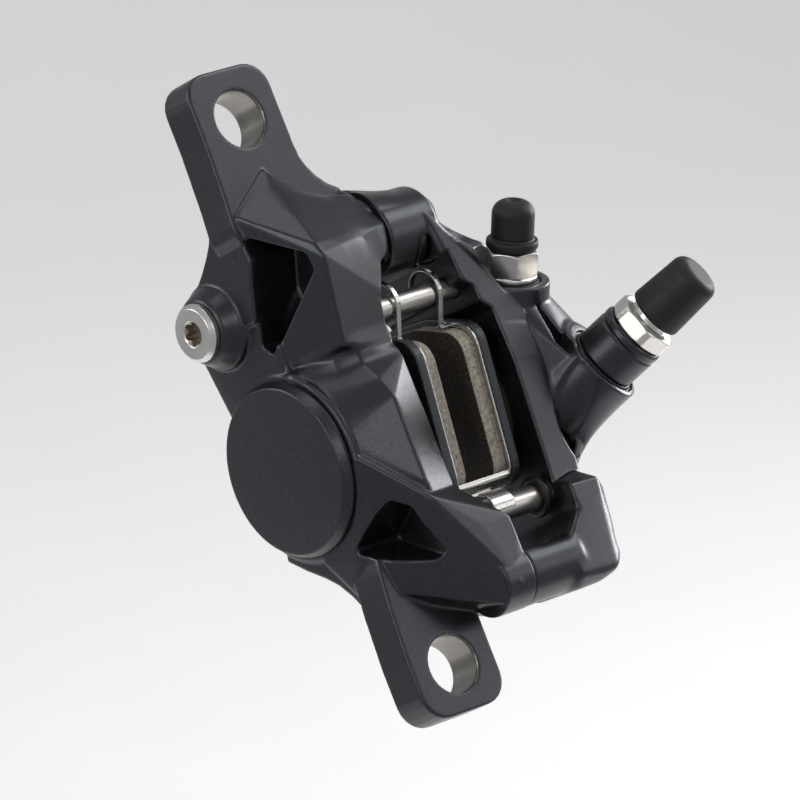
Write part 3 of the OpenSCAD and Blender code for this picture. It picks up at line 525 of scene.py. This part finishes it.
# Camera of the photograph: its axes, its focal length and where the target lies in the picture
PHOTO_PX = 800
FOCAL_PX = 6798.0
TARGET_PX = (346.487, 390.0)
SENSOR_MM = 36
target = Vector((0, -5.504, 0)) * MM
distance = 856.8 * MM
right = Vector((0.7259, -0.5838, -0.3639)).normalized()
back = Vector((-0.6471, -0.7588, -0.0736)).normalized()
up = back.cross(right).normalized()
right = up.cross(back).normalized()
shift_px = (TARGET_PX[0] - PHOTO_PX / 2, TARGET_PX[1] - PHOTO_PX / 2)
offset = (right * -shift_px[0] + up * shift_px[1]) * (distance / FOCAL_PX)
scene = bpy.context.scene
cam = bpy.data.objects.new("camera", bpy.data.cameras.new("camera"))
scene.collection.objects.link(cam)
axes = Matrix((right, up, back)).transposed().to_4x4()
cam.matrix_world = Matrix.Translation(target + offset + back * distance) @ axes
cam.data.sensor_width = SENSOR_MM
cam.data.lens = FOCAL_PX / PHOTO_PX * SENSOR_MM
cam.data.clip_start, cam.data.clip_end = 0.05, 20
scene.camera = cam
scene.view_settings.view_transform = "Standard"


# Light and floor
def seen_light(nodes, links, base, extra):
    """Strength base, and extra on top where it is seen directly, in a reflection or through glass."""
    path = nodes.new("ShaderNodeLightPath")
    seen = path.outputs["Is Camera Ray"]
    for name in ("Is Glossy Ray", "Is Transmission Ray"):
        both = node(nodes, "ShaderNodeMath", operation="ADD")
        links.new(seen, both.inputs[0])
        links.new(path.outputs[name], both.inputs[1])
        seen = both.outputs[0]
    level = node(nodes, "ShaderNodeMath", {1: extra, 2: base}, operation="MULTIPLY_ADD")
    links.new(seen, level.inputs[0])
    return level.outputs[0]


world = bpy.data.worlds.new("studio")
scene.world = world
world.use_nodes = True
sky = world.node_tree
backdrop = sky.nodes["Background"]
backdrop.inputs["Color"].default_value = (0.93, 0.96, 1, 1)
sky.links.new(seen_light(sky.nodes, sky.links, 0.08, 0.3), backdrop.inputs["Strength"])


def area(name, direction, dist, size, watts):
    """A soft box that faces the target, dist metres away."""
    d = (right * direction[0] + up * direction[1] + back * direction[2]).normalized()
    lamp = bpy.data.lights.new(name, "AREA")
    lamp.shape, lamp.size, lamp.size_y = "RECTANGLE", size[0], size[1]
    lamp.energy = watts
    o = bpy.data.objects.new(name, lamp)
    o.location = target + d * dist
    o.rotation_euler = (-d).to_track_quat("-Z", "Y").to_euler()
    o.visible_camera = False
    scene.collection.objects.link(o)


# Direction in the camera's right, up and back; distance and size in m; power in W
LAMPS = {
    "sky": ((-0.1, 1.0, 0.2), 0.8, (0.4, 0.3), 0.6),
    "left": ((-1.0, 0.36, 0.05), 0.8, (0.3, 0.45), 1.4),
    "rim": ((0.72, 0.33, -0.62), 0.8, (0.28, 0.32), 3.6),
    "right_up": ((0.70, 0.72, 0.0), 0.8, (0.28, 0.28), 1.1),
    "right": ((0.95, 0.28, 0.08), 0.8, (0.18, 0.3), 0.35),
    "front_left": ((-0.62, 0.14, 0.78), 0.9, (0.4, 0.4), 1.6),
    "front": ((0.26, 0.24, 1.0), 1.15, (0.3, 0.3), 1.1),
}
for name, spec in LAMPS.items():
    area(name, *spec)


def sheet():
    """Pale floor that curves up behind the object."""
    front, length, bend, wall_top, half_width, drop, tilt = -0.1, 0.9, 0.6, 1.8, 0.35, 0.25, 0.32
    prof = [(front, 0.0), (length, 0.0)]
    for t in np.linspace(0.05, math.pi / 2, 20):
        prof.append((length + bend * math.sin(t), bend - bend * math.cos(t)))
    prof.append((length + bend, wall_top))
    flat = (up + back * tilt).normalized()
    ahead = (-back + flat * back.dot(flat)).normalized()
    side = flat.cross(ahead)
    base = target - flat * drop
    v, f = [], []
    for d, z in prof:
        for s in (-half_width, half_width):
            v.append(base + ahead * d + flat * z + side * s)
    for i in range(len(prof) - 1):
        f.append((2 * i, 2 * i + 1, 2 * i + 3, 2 * i + 2))
    me = bpy.data.meshes.new("floor")
    me.from_pydata([tuple(p) for p in v], [], f)
    me.shade_smooth()
    o = bpy.data.objects.new("floor", me)
    scene.collection.objects.link(o)
    m, n, l, b = new_material("pale_paper")
    xyz = coordinates(n, l)
    cloud = noise(n, l, xyz, 30, 3)
    l.new(ramp(n, l, cloud, [(0.3, grey(0.90)), (0.7, grey(0.93))]), b.inputs["Base Color"])
    b.inputs["Roughness"].default_value = 0.9
    glow = seen_light(n, l, 0.0, 0.42)
    b.inputs["Emission Color"].default_value = (1, 1, 1, 1)
    l.new(glow, b.inputs["Emission Strength"])
    me.materials.append(m)


sheet()
